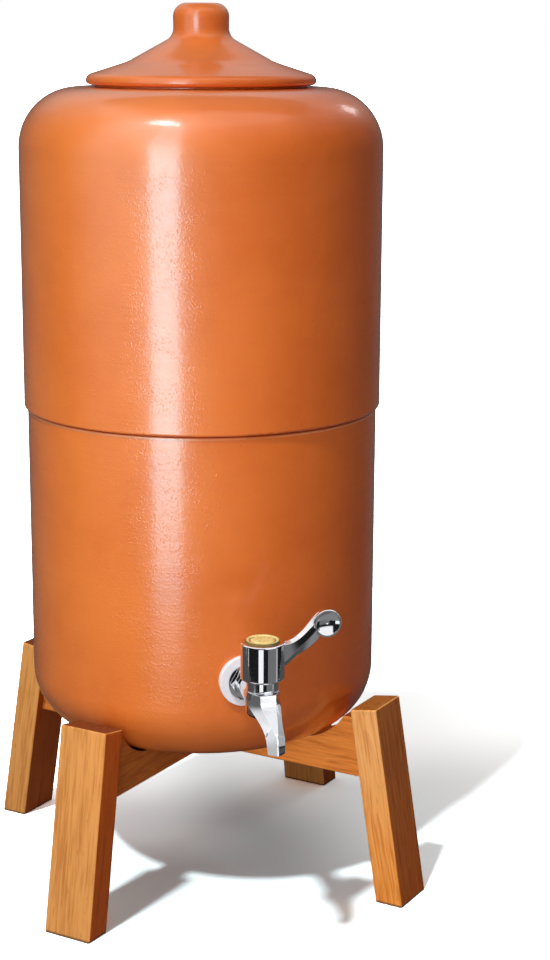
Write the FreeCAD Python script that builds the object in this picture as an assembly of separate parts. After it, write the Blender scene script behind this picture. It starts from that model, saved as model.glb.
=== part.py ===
import FreeCAD, Part
import math
import os

from FreeCAD import Placement, Rotation, Vector

# Two-chamber clay water pot with a quarter-turn tap, on a wooden stand.
# Millimetres. +Z is up and the tap points along -Y. The origin is on the axis
# of the pots, on the surface that the stand's feet rest on.

# ---------------------------------------------------------------- dimensions

# Stand
LEG_WIDTH = 36.0
LEG_THICKNESS = 20.0
LEG_SPLAY_DEG = 9.3
LEG_FOOT_RADIUS = 170.0
LEG_TOP_Z = 138.0
LEG_EASING = 1.4
RAIL_THICKNESS = 22.0
RAIL_BOTTOM_Z = 85.0
RAIL_END_TOP_Z = 127.0
RAIL_EASING = 1.0
CRADLE_RADIUS = 42.4
CRADLE_FLAT_REACH = 83.0
DOWEL_RADIUS = 4.0
DOWEL_LENGTH = 28.0
DOWEL_INNER_REACH = 117.0
DOWEL_HEIGHTS = (97.0, 115.0)
GLUE_GAP = 0.1
LEG_NAMES = ("leg_back_right", "leg_back_left", "leg_front_left", "leg_front_right")

# Clay pots
POT_BASE_Z = 106.0
SEAM_Z = 330.6
POT_TOP_Z = 545.0
LOWER_RADIUS = 120.0
UPPER_RADIUS = 122.4
CLAY_WALL = 10.0
CLAY_FLOOR = 12.0
OUTER_CORNER = 40.0
INNER_CORNER = 30.0
RIM_ROUNDING = 2.0
SPIGOT_RADIUS = 108.7
SPIGOT_DEPTH = 8.6
MOUTH_RADIUS = 66.0

# Lid
LID_RADIUS = 77.0
LID_EDGE_Z = 552.6
LID_RIM_Z = 546.5
LID_SEAT_RADIUS = 71.0
LID_BEND_RADIUS = 48.0
LID_BEND_Z = 561.8
KNOB_RADIUS = 18.9
KNOB_NECK_RADIUS = 18.4
KNOB_NECK_Z = 578.0
KNOB_TOP_Z = 599.5
LID_FLANGE_RADIUS = 64.5
LID_FLANGE_WALL = 7.0
LID_FLANGE_DEPTH = 8.0

# Filter candles
CANDLE_OFFSET = 46.0
CANDLE_RADIUS = 33.0
CANDLE_HEIGHT = 95.0
CANDLE_WALL = 6.0
CANDLE_BASE_RADIUS = 36.0
CANDLE_BASE_HEIGHT = 8.0
CANDLE_SOCKET_DEPTH = 4.0
CANDLE_STEM_RADIUS = 5.0
CANDLE_STEM_BORE = 1.8
CANDLE_STEM_END_Z = 300.0
CANDLE_WASHER_RADIUS = 14.0
CANDLE_WASHER_HEIGHT = 3.0
CANDLE_HOLE_RADIUS = 6.2
WING_HUB_RADIUS = 7.5
WING_HUB_HEIGHT = 8.0
WING_SPAN = 34.0
WING_HEIGHT = 12.0
WING_THICKNESS = 3.0

# Tap, measured along the tap's axis from the axis of the pots
TAP_Z = 168.0
TAP_HOLE_RADIUS = 8.5
TAIL_RADIUS = 7.9
TAIL_START = 92.0
OUTER_WASHER_RADIUS = 17.0
OUTER_WASHER_FACE = 123.0
INNER_GASKET_RADIUS = 15.0
INNER_GASKET_FACE = 105.6
LOCK_NUT_ACROSS_FLATS = 25.0
LOCK_NUT_HEIGHT = 8.0
FLANGE_RADIUS = 11.8
FLANGE_THICKNESS = 2.2
HEX_ACROSS_FLATS = 19.0
HEX_LENGTH = 6.0
BARREL_RADIUS = 7.5
HANDLE_REACH = 167.0
WATERWAY_RADIUS = 3.0
OUTLET_RADIUS = 3.6

# Valve
BODY_TOP_Z = 177.4
BODY_RADIUS = 11.0
BODY_BOTTOM_Z = 160.0
CHAMBER_RADIUS = 6.55
CHAMBER_FLOOR_Z = 163.5
PLUG_RADIUS = 6.5
PLUG_TOP_Z = 172.3
BONNET_RADIUS = 10.4
BONNET_TAIL_RADIUS = 8.5
BONNET_TAIL_Z = 172.5
BONNET_TOP_Z = 184.9
BONNET_BOSS_RADIUS = 7.5
BONNET_BOSS_TOP_Z = 188.0
SPINDLE_RADIUS = 4.0
SPINDLE_CLEARANCE = 0.06
SPINDLE_SQUARE = 6.2
SPINDLE_SQUARE_Z = 190.0
SPINDLE_TOP_Z = 201.0
RING_GROOVE_RADIUS = 2.9
RING_WIRE_RADIUS = 0.56
RING_HEIGHTS = (178.5, 181.5)

# Handle
HUB_RADIUS = 14.0
HUB_BOTTOM_Z = 184.5
HUB_TOP_Z = 208.8
HUB_CAVITY_RADIUS = 11.3
HUB_CAVITY_TOP_Z = 189.0
HUB_WEB_TOP_Z = 203.0
CAP_SEAT_RADIUS = 10.8
CAP_RADIUS = 10.6
CAP_SKIRT = 1.2
CAP_TOP_Z = 210.3
SCREW_RADIUS = 2.0
SCREW_LENGTH = 12.0
SCREW_HEAD_RADIUS = 3.7
SCREW_HEAD_HEIGHT = 2.4
SCREW_SLOT_LENGTH = 4.0
SCREW_SLOT_WIDTH = 0.9
SCREW_SLOT_DEPTH = 1.3
PAD_RADIUS = 9.1
PAD_THICKNESS = 7.0
PAD_REACH = 41.5
PAD_Z = 218.3
DISH_RADIUS = 7.7
DISH_DEPTH = 1.7

UP = Vector(0, 0, 1)
TAP_DIRECTION = Vector(0, -1, 0)
SPLAY = math.radians(LEG_SPLAY_DEG)


# ------------------------------------------------------------ shared helpers

def rounded_wire(points):
    """Closed wire in the X-Z plane through (x, z, corner radius) points."""
    corners = [Vector(x, 0, z) for x, z, radius in points]
    count = len(points)
    starts = []
    ends = []
    arcs = []
    for i, (x, z, radius) in enumerate(points):
        before = (corners[i - 1] - corners[i]).normalize()
        after = (corners[(i + 1) % count] - corners[i]).normalize()
        half = before.getAngle(after) / 2
        trim = radius / math.tan(half)
        starts.append(corners[i] + before * trim)
        ends.append(corners[i] + after * trim)
        inward = (before + after) if radius > 0 else Vector(0, 0, 1)
        depth = radius / math.sin(half) - radius
        arcs.append(corners[i] + inward.normalize() * depth)
    edges = []
    for i in range(count):
        if points[i][2] > 0:
            edges.append(Part.Arc(starts[i], arcs[i], ends[i]).toShape())
        target = starts[(i + 1) % count]
        if (target - ends[i]).Length > 1e-6:
            edges.append(Part.LineSegment(ends[i], target).toShape())
    return Part.Wire(edges)


def turned(points, centre=Vector(0, 0, 0)):
    """Solid of revolution about a vertical axis through centre."""
    face = Part.Face(rounded_wire(points))
    solid = face.revolve(Vector(0, 0, 0), UP, 360)
    solid.translate(centre)
    return solid


def hexagon_bar(across_flats, length, base, direction):
    """Hexagonal bar along direction, with its end corners turned off."""
    corner_radius = across_flats / math.sqrt(3)
    corners = []
    for i in range(6):
        angle = math.radians(60 * i)
        corners.append(Vector(corner_radius * math.cos(angle), corner_radius * math.sin(angle), 0))
    bar = Part.Face(Part.makePolygon(corners + corners[:1])).extrude(Vector(0, 0, length))
    chamfer = corner_radius - across_flats / 2
    rise = chamfer * math.tan(math.radians(30))
    envelope = turned([
        (0, 0, 0),
        (across_flats / 2, 0, 0),
        (corner_radius, rise, 0),
        (corner_radius, length - rise, 0),
        (across_flats / 2, length, 0),
        (0, length, 0),
    ])
    bar = bar.common(envelope)
    bar.Placement = Placement(base, Rotation(UP, direction))
    return bar


def tap_cylinder(radius, start, end):
    """Cylinder on the tap's axis between two distances from the pots' axis."""
    base = Vector(0, -start, TAP_Z)
    return Part.makeCylinder(radius, end - start, base, TAP_DIRECTION)


def upright_cylinder(radius, bottom, top, x=0.0, y=0.0):
    """Vertical cylinder between two heights."""
    return Part.makeCylinder(radius, top - bottom, Vector(x, y, bottom))


def at_handle(shape):
    """Moves a shape drawn about the Z axis onto the tap handle's axis."""
    moved = shape.copy()
    moved.translate(Vector(0, -HANDLE_REACH, 0))
    return moved


# --------------------------------------------------------------------- stand

def leg_outer_radius(z):
    """Distance of a leg's outer face from the pots' axis at a height."""
    return LEG_FOOT_RADIUS - z * math.tan(SPLAY)


def leg_inner_radius(z):
    """Distance of a leg's inner face from the pots' axis at a height."""
    return leg_outer_radius(z) - LEG_THICKNESS / math.cos(SPLAY)


def dowels_for_leg(radius, length, start):
    """Dowel-shaped rods of one leg joint, drawn along +X."""
    rods = []
    for z in DOWEL_HEIGHTS:
        rods.append(Part.makeCylinder(radius, length, Vector(start, 0, z), Vector(1, 0, 0)))
    return rods


def splayed_leg():
    """Square-cut board that leans in towards the pots, drawn along +X."""
    top_outer = Vector(leg_outer_radius(LEG_TOP_Z), 0, LEG_TOP_Z)
    top_inner = top_outer - Vector(math.cos(SPLAY), 0, math.sin(SPLAY)) * LEG_THICKNESS
    foot_outer = Vector(LEG_FOOT_RADIUS, 0, 0)
    foot_inner = Vector(leg_inner_radius(0), 0, 0)
    outline = Part.makePolygon([foot_inner, foot_outer, top_outer, top_inner, foot_inner])
    board = Part.Face(outline).extrude(Vector(0, LEG_WIDTH, 0))
    board.translate(Vector(0, -LEG_WIDTH / 2, 0))
    eased = [edge for edge in board.Edges if edge.BoundBox.ZMax > LEG_EASING]
    board = board.makeFillet(LEG_EASING, eased)
    holes = dowels_for_leg(DOWEL_RADIUS + GLUE_GAP, DOWEL_LENGTH + GLUE_GAP, DOWEL_INNER_REACH)
    return board.cut(Part.Compound(holes))


def cradle_rail():
    """Cross rail with a seat for the pot's rounded base, drawn along X."""
    arc_centre_z = POT_BASE_Z + CRADLE_RADIUS
    arc_end_x = CRADLE_FLAT_REACH + math.sqrt(CRADLE_RADIUS ** 2 - (arc_centre_z - RAIL_END_TOP_Z) ** 2)
    end_bottom = leg_inner_radius(RAIL_BOTTOM_Z)
    end_top = leg_inner_radius(RAIL_END_TOP_Z)
    arc_middle = Vector(
        CRADLE_FLAT_REACH + CRADLE_RADIUS * math.sin(math.radians(30)),
        0,
        arc_centre_z - CRADLE_RADIUS * math.cos(math.radians(30)),
    )
    edges = []
    for side in (1, -1):
        bottom = Vector(side * end_bottom, 0, RAIL_BOTTOM_Z)
        top = Vector(side * end_top, 0, RAIL_END_TOP_Z)
        lip = Vector(side * arc_end_x, 0, RAIL_END_TOP_Z)
        seat = Vector(side * CRADLE_FLAT_REACH, 0, POT_BASE_Z)
        middle = Vector(side * arc_middle.x, 0, arc_middle.z)
        edges.append(Part.LineSegment(bottom, top).toShape())
        edges.append(Part.LineSegment(top, lip).toShape())
        edges.append(Part.Arc(lip, middle, seat).toShape())
    reach = Vector(CRADLE_FLAT_REACH, 0, POT_BASE_Z)
    edges.append(Part.LineSegment(reach, Vector(-reach.x, 0, reach.z)).toShape())
    foot = Vector(end_bottom, 0, RAIL_BOTTOM_Z)
    edges.append(Part.LineSegment(foot, Vector(-foot.x, 0, foot.z)).toShape())
    outline = Part.Wire(Part.__sortEdges__(edges))
    rail = Part.Face(outline).extrude(Vector(0, RAIL_THICKNESS, 0))
    rail.translate(Vector(0, -RAIL_THICKNESS / 2, 0))
    lower_edges = []
    for edge in rail.Edges:
        if edge.BoundBox.ZMax < RAIL_BOTTOM_Z + 0.01 and edge.Length > RAIL_THICKNESS + 1:
            lower_edges.append(edge)
    rail = rail.makeFillet(RAIL_EASING, lower_edges)
    holes = []
    for rod in dowels_for_leg(DOWEL_RADIUS + GLUE_GAP, DOWEL_LENGTH, DOWEL_INNER_REACH - GLUE_GAP):
        holes.append(rod)
        holes.append(rod.mirror(Vector(0, 0, 0), Vector(1, 0, 0)))
    return rail.cut(Part.Compound(holes))


def half_lap(bottom, top):
    """Block that is notched out of a rail where the rails cross."""
    size = RAIL_THICKNESS
    corner = Vector(-size / 2, -size / 2, bottom)
    return Part.makeBox(size, size, top - bottom, corner)


def make_stand(parts):
    """Four legs, two half-lapped rails and the dowels that join them."""
    lap_z = (RAIL_BOTTOM_Z + POT_BASE_Z) / 2
    dowels = []
    for i, name in enumerate(LEG_NAMES):
        turn = 45 + 90 * i
        leg = splayed_leg()
        leg.rotate(Vector(0, 0, 0), UP, turn)
        parts[name] = leg
        for rod in dowels_for_leg(DOWEL_RADIUS, DOWEL_LENGTH, DOWEL_INNER_REACH):
            rod.rotate(Vector(0, 0, 0), UP, turn)
            dowels.append(rod)
    under_rail = cradle_rail().cut(half_lap(lap_z, POT_BASE_Z))
    over_rail = cradle_rail().cut(half_lap(RAIL_BOTTOM_Z, lap_z))
    under_rail.rotate(Vector(0, 0, 0), UP, 45)
    over_rail.rotate(Vector(0, 0, 0), UP, 135)
    parts["rail_under"] = under_rail
    parts["rail_over"] = over_rail
    parts["stand_dowels"] = Part.Compound(dowels)


# ---------------------------------------------------------------------- pots

def lower_pot():
    """Storage pot: rounded base, straight wall, hole for the tap."""
    inner = LOWER_RADIUS - CLAY_WALL
    pot = turned([
        (0, POT_BASE_Z, 0),
        (LOWER_RADIUS, POT_BASE_Z, OUTER_CORNER),
        (LOWER_RADIUS, SEAM_Z, RIM_ROUNDING),
        (inner, SEAM_Z, RIM_ROUNDING),
        (inner, POT_BASE_Z + CLAY_FLOOR, INNER_CORNER),
        (0, POT_BASE_Z + CLAY_FLOOR, 0),
    ])
    hole = tap_cylinder(TAP_HOLE_RADIUS, inner - CLAY_WALL, LOWER_RADIUS + CLAY_WALL)
    return pot.cut(hole)


def upper_pot():
    """Filter pot: broad shoulder and mouth, with a spigot under its floor."""
    inner = UPPER_RADIUS - CLAY_WALL
    spigot_z = SEAM_Z - SPIGOT_DEPTH
    floor_z = spigot_z + CLAY_FLOOR
    pot = turned([
        (0, spigot_z, 0),
        (SPIGOT_RADIUS, spigot_z, RIM_ROUNDING),
        (SPIGOT_RADIUS, SEAM_Z, 0),
        (UPPER_RADIUS, SEAM_Z, RIM_ROUNDING),
        (UPPER_RADIUS, POT_TOP_Z, OUTER_CORNER),
        (MOUTH_RADIUS, POT_TOP_Z, RIM_ROUNDING),
        (MOUTH_RADIUS, POT_TOP_Z - CLAY_WALL, RIM_ROUNDING),
        (inner, POT_TOP_Z - CLAY_WALL, INNER_CORNER),
        (inner, floor_z, INNER_CORNER),
        (0, floor_z, 0),
    ])
    for side in (-1, 1):
        x = side * CANDLE_OFFSET
        pot = pot.cut(upright_cylinder(CANDLE_HOLE_RADIUS, spigot_z - 1, floor_z + 1, x))
    return pot


def pot_lid():
    """Bell-shaped lid: round knob, bullnose rim above a seat, flange inside the mouth."""
    flange_z = POT_TOP_Z - LID_FLANGE_DEPTH
    flange_inner = LID_FLANGE_RADIUS - LID_FLANGE_WALL
    return turned([
        (0, KNOB_TOP_Z, 0),
        (KNOB_RADIUS, KNOB_TOP_Z, 9.0),
        (KNOB_NECK_RADIUS, KNOB_NECK_Z, 9.0),
        (LID_BEND_RADIUS, LID_BEND_Z, 60.0),
        (LID_RADIUS, LID_EDGE_Z, 5.0),
        (LID_RADIUS, LID_RIM_Z, 2.8),
        (LID_SEAT_RADIUS, LID_RIM_Z, 0.6),
        (LID_SEAT_RADIUS, POT_TOP_Z, 0.6),
        (LID_FLANGE_RADIUS, POT_TOP_Z, 0),
        (LID_FLANGE_RADIUS, flange_z, RIM_ROUNDING),
        (flange_inner, flange_z, RIM_ROUNDING),
        (flange_inner, LID_EDGE_Z - CLAY_WALL / 2, 4.0),
        (CLAY_WALL * 2, LID_BEND_Z + CLAY_WALL / 3, 12.0),
        (0, LID_BEND_Z + CLAY_WALL / 3, 0),
    ])


# ------------------------------------------------------------ filter candles

def candle_dome(x, seat_z):
    """Hollow porous dome that is glued into the candle's base."""
    inner = CANDLE_RADIUS - CANDLE_WALL
    top = seat_z + CANDLE_HEIGHT
    return turned([
        (CANDLE_RADIUS, seat_z, 0),
        (CANDLE_RADIUS, top, CANDLE_RADIUS * 0.75),
        (0, top, 0),
        (0, top - CANDLE_WALL, 0),
        (inner, top - CANDLE_WALL, inner * 0.7),
        (inner, seat_z, 0),
    ], Vector(x, 0, 0))


def candle_base(x, bottom_z):
    """Plastic base with a groove for the dome and a threaded hollow stem."""
    top = bottom_z + CANDLE_BASE_HEIGHT
    groove = top - CANDLE_SOCKET_DEPTH
    groove_inner = CANDLE_RADIUS - CANDLE_WALL - GLUE_GAP
    return turned([
        (CANDLE_STEM_BORE, CANDLE_STEM_END_Z, 0),
        (CANDLE_STEM_RADIUS, CANDLE_STEM_END_Z, 0.8),
        (CANDLE_STEM_RADIUS, bottom_z, 0),
        (CANDLE_BASE_RADIUS, bottom_z, 1.0),
        (CANDLE_BASE_RADIUS, top, 1.0),
        (CANDLE_RADIUS + GLUE_GAP, top, 0),
        (CANDLE_RADIUS + GLUE_GAP, groove, 0),
        (groove_inner, groove, 0),
        (groove_inner, top, 0),
        (CANDLE_STEM_BORE, top, 0),
    ], Vector(x, 0, 0))


def flat_ring(outer, inner, bottom, top, x=0.0):
    """Flat washer about a vertical axis."""
    ring = upright_cylinder(outer, bottom, top, x)
    return ring.cut(upright_cylinder(inner, bottom - 1, top + 1, x))


def wing_nut(x, top_z):
    """Round nut with two rounded finger wings, turned by hand."""
    bottom_z = top_z - WING_HUB_HEIGHT
    hub = upright_cylinder(WING_HUB_RADIUS, bottom_z, top_z, x)
    nut = hub.fuse(wing_plate(x, top_z - WING_HEIGHT, bottom_z, top_z - WING_THICKNESS))
    bore = upright_cylinder(CANDLE_STEM_RADIUS + GLUE_GAP / 2, bottom_z - WING_HEIGHT, top_z + 1, x)
    return nut.cut(bore).removeSplitter()


def wing_plate(x, tip_z, middle_z, top_z):
    """Flat plate through the nut whose rounded ends droop as finger wings."""
    half = WING_SPAN / 2
    wire = rounded_wire([
        (-half, tip_z, 2.5),
        (-WING_HUB_RADIUS, middle_z, 0),
        (WING_HUB_RADIUS, middle_z, 0),
        (half, tip_z, 2.5),
        (half, top_z, 3.5),
        (-half, top_z, 3.5),
    ])
    plate = Part.Face(wire).extrude(Vector(0, WING_THICKNESS, 0))
    plate.translate(Vector(x, -WING_THICKNESS / 2, 0))
    return plate


def make_candles(parts):
    """Two filter candles, each clamped through the upper pot's floor."""
    floor_bottom = SEAM_Z - SPIGOT_DEPTH
    floor_top = floor_bottom + CLAY_FLOOR
    base_z = floor_top + CANDLE_WASHER_HEIGHT
    groove_z = base_z + CANDLE_BASE_HEIGHT - CANDLE_SOCKET_DEPTH
    washer_hole = CANDLE_STEM_RADIUS + GLUE_GAP
    for side, x in (("left", -CANDLE_OFFSET), ("right", CANDLE_OFFSET)):
        parts["candle_dome_" + side] = candle_dome(x, groove_z)
        parts["candle_base_" + side] = candle_base(x, base_z)
        washer = flat_ring(CANDLE_WASHER_RADIUS, washer_hole, floor_top, base_z, x)
        parts["candle_washer_" + side] = washer
        parts["candle_wing_nut_" + side] = wing_nut(x, floor_bottom)


# ----------------------------------------------------------------------- tap

def spout_section(front, back, depth, front_half, half_width, back_half):
    """Section of the spout, on the slanted line from front to back.

    front and back are (reach, z) points in the tap's vertical plane, and the
    section is widest at the given part of the way back.
    """
    front_point = Vector(0, -front[0], front[1])
    back_point = Vector(0, -back[0], back[1])
    side_point = front_point + (back_point - front_point) * depth
    right = Vector(1, 0, 0)
    corners = [
        front_point + right * front_half,
        side_point + right * half_width,
        back_point + right * back_half,
        back_point - right * back_half,
        side_point - right * half_width,
        front_point - right * front_half,
    ]
    return Part.makePolygon(corners + corners[:1])


def faceted_spout():
    """Spout that leaves the valve body as a broad wedge and ends in a beak.

    Its flat front tapers to a ridge above the beak's two slanted sides.
    """
    reach = HANDLE_REACH
    top = BODY_TOP_Z
    sections = [
        spout_section((reach + 11.2, top), (reach - 2.0, top), 0.70, 5.9, 10.6, 9.0),
        spout_section((reach + 15.0, 172.4), (reach + 0.0, 164.0), 0.55, 5.1, 10.2, 7.6),
        spout_section((reach + 20.5, 168.3), (reach + 7.5, 160.5), 0.45, 4.0, 8.6, 5.6),
        spout_section((reach + 26.5, 165.0), (reach + 15.5, 158.0), 0.45, 2.9, 7.2, 4.4),
        spout_section((reach + 31.8, 161.6), (reach + 21.5, 155.4), 0.42, 1.7, 6.4, 3.6),
        spout_section((reach + 35.6, 158.0), (reach + 25.0, 153.0), 0.40, 0.8, 6.1, 3.0),
        spout_section((reach + 37.8, 153.0), (reach + 26.6, 149.8), 0.38, 0.5, 5.9, 2.8),
        spout_section((reach + 38.6, 146.6), (reach + 27.0, 146.6), 0.36, 0.5, 5.5, 2.6),
    ]
    return Part.makeLoft(sections, True, False)


def valve_housing():
    """Round upright body that the spout, barrel and bonnet grow out of."""
    housing = at_handle(upright_cylinder(BODY_RADIUS, BODY_BOTTOM_Z, BODY_TOP_Z))
    rim = []
    for edge in housing.Edges:
        if edge.BoundBox.ZMax < BODY_BOTTOM_Z + 0.01:
            rim.append(edge)
    return housing.makeFillet(4.5, rim)


def spout_waterway():
    """Bent channel from the front of the valve chamber to the outlet."""
    reach = HANDLE_REACH
    chamber = Vector(0, -reach, TAP_Z)
    knee = Vector(0, -(reach + 26.5), 157.6)
    outlet = Vector(0, -(reach + 31.8), 145.0)
    first = Part.makeCylinder(WATERWAY_RADIUS, (knee - chamber).Length, chamber, knee - chamber)
    second = Part.makeCylinder(WATERWAY_RADIUS, (outlet - knee).Length, knee, outlet - knee)
    ball = Part.makeSphere(WATERWAY_RADIUS, knee)
    mouth = upright_cylinder(OUTLET_RADIUS, 145.0, 150.0, 0, -(reach + 31.0))
    return first.fuse([second, ball, mouth])


def tap_body():
    """Casting with threaded tail, flange, hexagon, barrel, valve body and spout."""
    flange_end = OUTER_WASHER_FACE + FLANGE_THICKNESS
    hex_end = flange_end + HEX_LENGTH
    tail = tap_cylinder(TAIL_RADIUS, TAIL_START, OUTER_WASHER_FACE)
    flange = tap_cylinder(FLANGE_RADIUS, OUTER_WASHER_FACE, flange_end)
    hexagon = hexagon_bar(HEX_ACROSS_FLATS, HEX_LENGTH, Vector(0, -flange_end, TAP_Z), TAP_DIRECTION)
    barrel = tap_cylinder(BARREL_RADIUS, hex_end, HANDLE_REACH - CHAMBER_RADIUS)
    body = valve_housing().fuse([faceted_spout(), barrel, hexagon, flange, tail])
    inlet = tap_cylinder(WATERWAY_RADIUS, TAIL_START - 1, HANDLE_REACH)
    chamber = at_handle(upright_cylinder(CHAMBER_RADIUS, CHAMBER_FLOOR_Z, BODY_TOP_Z + 1))
    thread = at_handle(upright_cylinder(BONNET_TAIL_RADIUS, BONNET_TAIL_Z, BODY_TOP_Z + 1))
    body = body.cut(chamber.fuse([thread, inlet, spout_waterway()]))
    return body.removeSplitter()


def outer_washer():
    """White washer whose back follows the pot's round wall."""
    washer = tap_cylinder(OUTER_WASHER_RADIUS, LOWER_RADIUS - CLAY_WALL, OUTER_WASHER_FACE)
    front_edge = []
    for edge in washer.Edges:
        if edge.BoundBox.YMax < -OUTER_WASHER_FACE + 0.01 and edge.Length > OUTER_WASHER_RADIUS:
            front_edge.append(edge)
    washer = washer.makeFillet(0.8, front_edge)
    washer = washer.cut(upright_cylinder(LOWER_RADIUS, 0, POT_TOP_Z))
    return washer.cut(tap_cylinder(TAIL_RADIUS, TAIL_START, OUTER_WASHER_FACE + 1))


def inner_gasket():
    """Rubber gasket whose outer side follows the inside of the pot."""
    inner = LOWER_RADIUS - CLAY_WALL
    gasket = tap_cylinder(INNER_GASKET_RADIUS, INNER_GASKET_FACE, inner + CLAY_WALL)
    gasket = gasket.common(upright_cylinder(inner, 0, POT_TOP_Z))
    return gasket.cut(tap_cylinder(TAIL_RADIUS, TAIL_START, inner + CLAY_WALL))


def lock_nut():
    """Hexagonal nut that pulls the tap against the wall from inside."""
    start = INNER_GASKET_FACE - LOCK_NUT_HEIGHT
    nut = hexagon_bar(LOCK_NUT_ACROSS_FLATS, LOCK_NUT_HEIGHT, Vector(0, -start, TAP_Z), TAP_DIRECTION)
    return nut.cut(tap_cylinder(TAIL_RADIUS, start - 1, INNER_GASKET_FACE + 1))


def valve_bonnet():
    """Ring screwed into the valve body, which holds the spindle down."""
    bore = SPINDLE_RADIUS + SPINDLE_CLEARANCE
    return at_handle(turned([
        (bore, BONNET_TAIL_Z, 0),
        (BONNET_TAIL_RADIUS, BONNET_TAIL_Z, 0.4),
        (BONNET_TAIL_RADIUS, BODY_TOP_Z, 0),
        (BONNET_RADIUS, BODY_TOP_Z, 0.3),
        (BONNET_RADIUS, BONNET_TOP_Z, 0.8),
        (BONNET_BOSS_RADIUS, BONNET_TOP_Z, 0.5),
        (BONNET_BOSS_RADIUS, BONNET_BOSS_TOP_Z, 0.5),
        (bore, BONNET_BOSS_TOP_Z, 0),
    ]))


def valve_spindle():
    """Plug with a cross hole, grooved shaft and square top for the handle.

    The cross hole lies across the waterway at rest, so the tap is shut.
    """
    bottom = CHAMBER_FLOOR_Z + 0.3
    points = [
        (0, bottom, 0),
        (PLUG_RADIUS, bottom, 0.4),
        (PLUG_RADIUS, PLUG_TOP_Z, 0.4),
        (SPINDLE_RADIUS, PLUG_TOP_Z, 0),
    ]
    for z in RING_HEIGHTS:
        points.append((SPINDLE_RADIUS, z - RING_WIRE_RADIUS - 0.1, 0))
        points.append((RING_GROOVE_RADIUS, z - RING_WIRE_RADIUS - 0.1, 0))
        points.append((RING_GROOVE_RADIUS, z + RING_WIRE_RADIUS + 0.1, 0))
        points.append((SPINDLE_RADIUS, z + RING_WIRE_RADIUS + 0.1, 0))
    points.append((SPINDLE_RADIUS, SPINDLE_SQUARE_Z, 0))
    points.append((0, SPINDLE_SQUARE_Z, 0))
    spindle = turned(points)
    half = SPINDLE_SQUARE / 2
    square_height = SPINDLE_TOP_Z - SPINDLE_SQUARE_Z
    corner = Vector(-half, -half, SPINDLE_SQUARE_Z)
    square = Part.makeBox(SPINDLE_SQUARE, SPINDLE_SQUARE, square_height, corner)
    square = square.common(upright_cylinder(SPINDLE_RADIUS, SPINDLE_SQUARE_Z, SPINDLE_TOP_Z))
    spindle = spindle.fuse(square)
    start = Vector(-PLUG_RADIUS * 2, 0, TAP_Z)
    cross = Part.makeCylinder(WATERWAY_RADIUS, PLUG_RADIUS * 4, start, Vector(1, 0, 0))
    tapped = upright_cylinder(SCREW_RADIUS, HUB_WEB_TOP_Z - SCREW_LENGTH, SPINDLE_TOP_Z + 1)
    return at_handle(spindle.cut(cross).cut(tapped))


def spindle_rings():
    """Two rubber rings in the spindle's grooves."""
    rings = []
    for z in RING_HEIGHTS:
        ring = Part.makeTorus(RING_GROOVE_RADIUS + RING_WIRE_RADIUS, RING_WIRE_RADIUS, Vector(0, 0, z))
        rings.append(at_handle(ring))
    return Part.Compound(rings)


# -------------------------------------------------------------------- handle

def lever_section(x, low, high, bevel, ridge_share, half_side):
    """Eight-sided section of the lever: bevelled top, sides and slanted belly.

    bevel is how far the top's slanted edges drop, and the sides are widest
    at the given share of the height.
    """
    ridge = low + (high - low) * ridge_share
    half_top = half_side * 0.24
    half_shoulder = half_side * 0.90
    half_bottom = half_side * 0.52
    corners = [
        Vector(x, -half_top, high),
        Vector(x, half_top, high),
        Vector(x, half_shoulder, high - bevel),
        Vector(x, half_side, ridge),
        Vector(x, half_bottom, low),
        Vector(x, -half_bottom, low),
        Vector(x, -half_side, ridge),
        Vector(x, -half_shoulder, high - bevel),
    ]
    return Part.makePolygon(corners + corners[:1])


def handle_lever():
    """Waisted lever that rises from the hub to the finger pad."""
    sections = [
        lever_section(11.0, 190.2, 208.0, 1.3, 0.24, 4.4),
        lever_section(15.0, 192.7, 208.3, 1.4, 0.26, 4.2),
        lever_section(20.0, 196.9, 210.0, 1.8, 0.34, 3.9),
        lever_section(25.0, 200.3, 213.8, 2.5, 0.40, 3.7),
        lever_section(30.0, 203.3, 219.4, 3.6, 0.43, 3.6),
        lever_section(36.0, 208.6, 225.8, 4.8, 0.44, 3.6),
    ]
    return Part.makeLoft(sections, True, False)


def finger_pad():
    """Round pad with a shallow dish in its front face."""
    half = PAD_THICKNESS / 2
    pad = turned([
        (0, -half, 0),
        (PAD_RADIUS, -half, 2.2),
        (PAD_RADIUS, half, 0.5),
        (0, half, 0),
    ])
    dish_sphere = (DISH_RADIUS ** 2 + DISH_DEPTH ** 2) / (2 * DISH_DEPTH)
    dish = Part.makeSphere(dish_sphere, Vector(0, 0, half + dish_sphere - DISH_DEPTH))
    pad = pad.cut(dish)
    pad.Placement = Placement(Vector(PAD_REACH, 0, PAD_Z), Rotation(UP, TAP_DIRECTION))
    return pad


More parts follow.
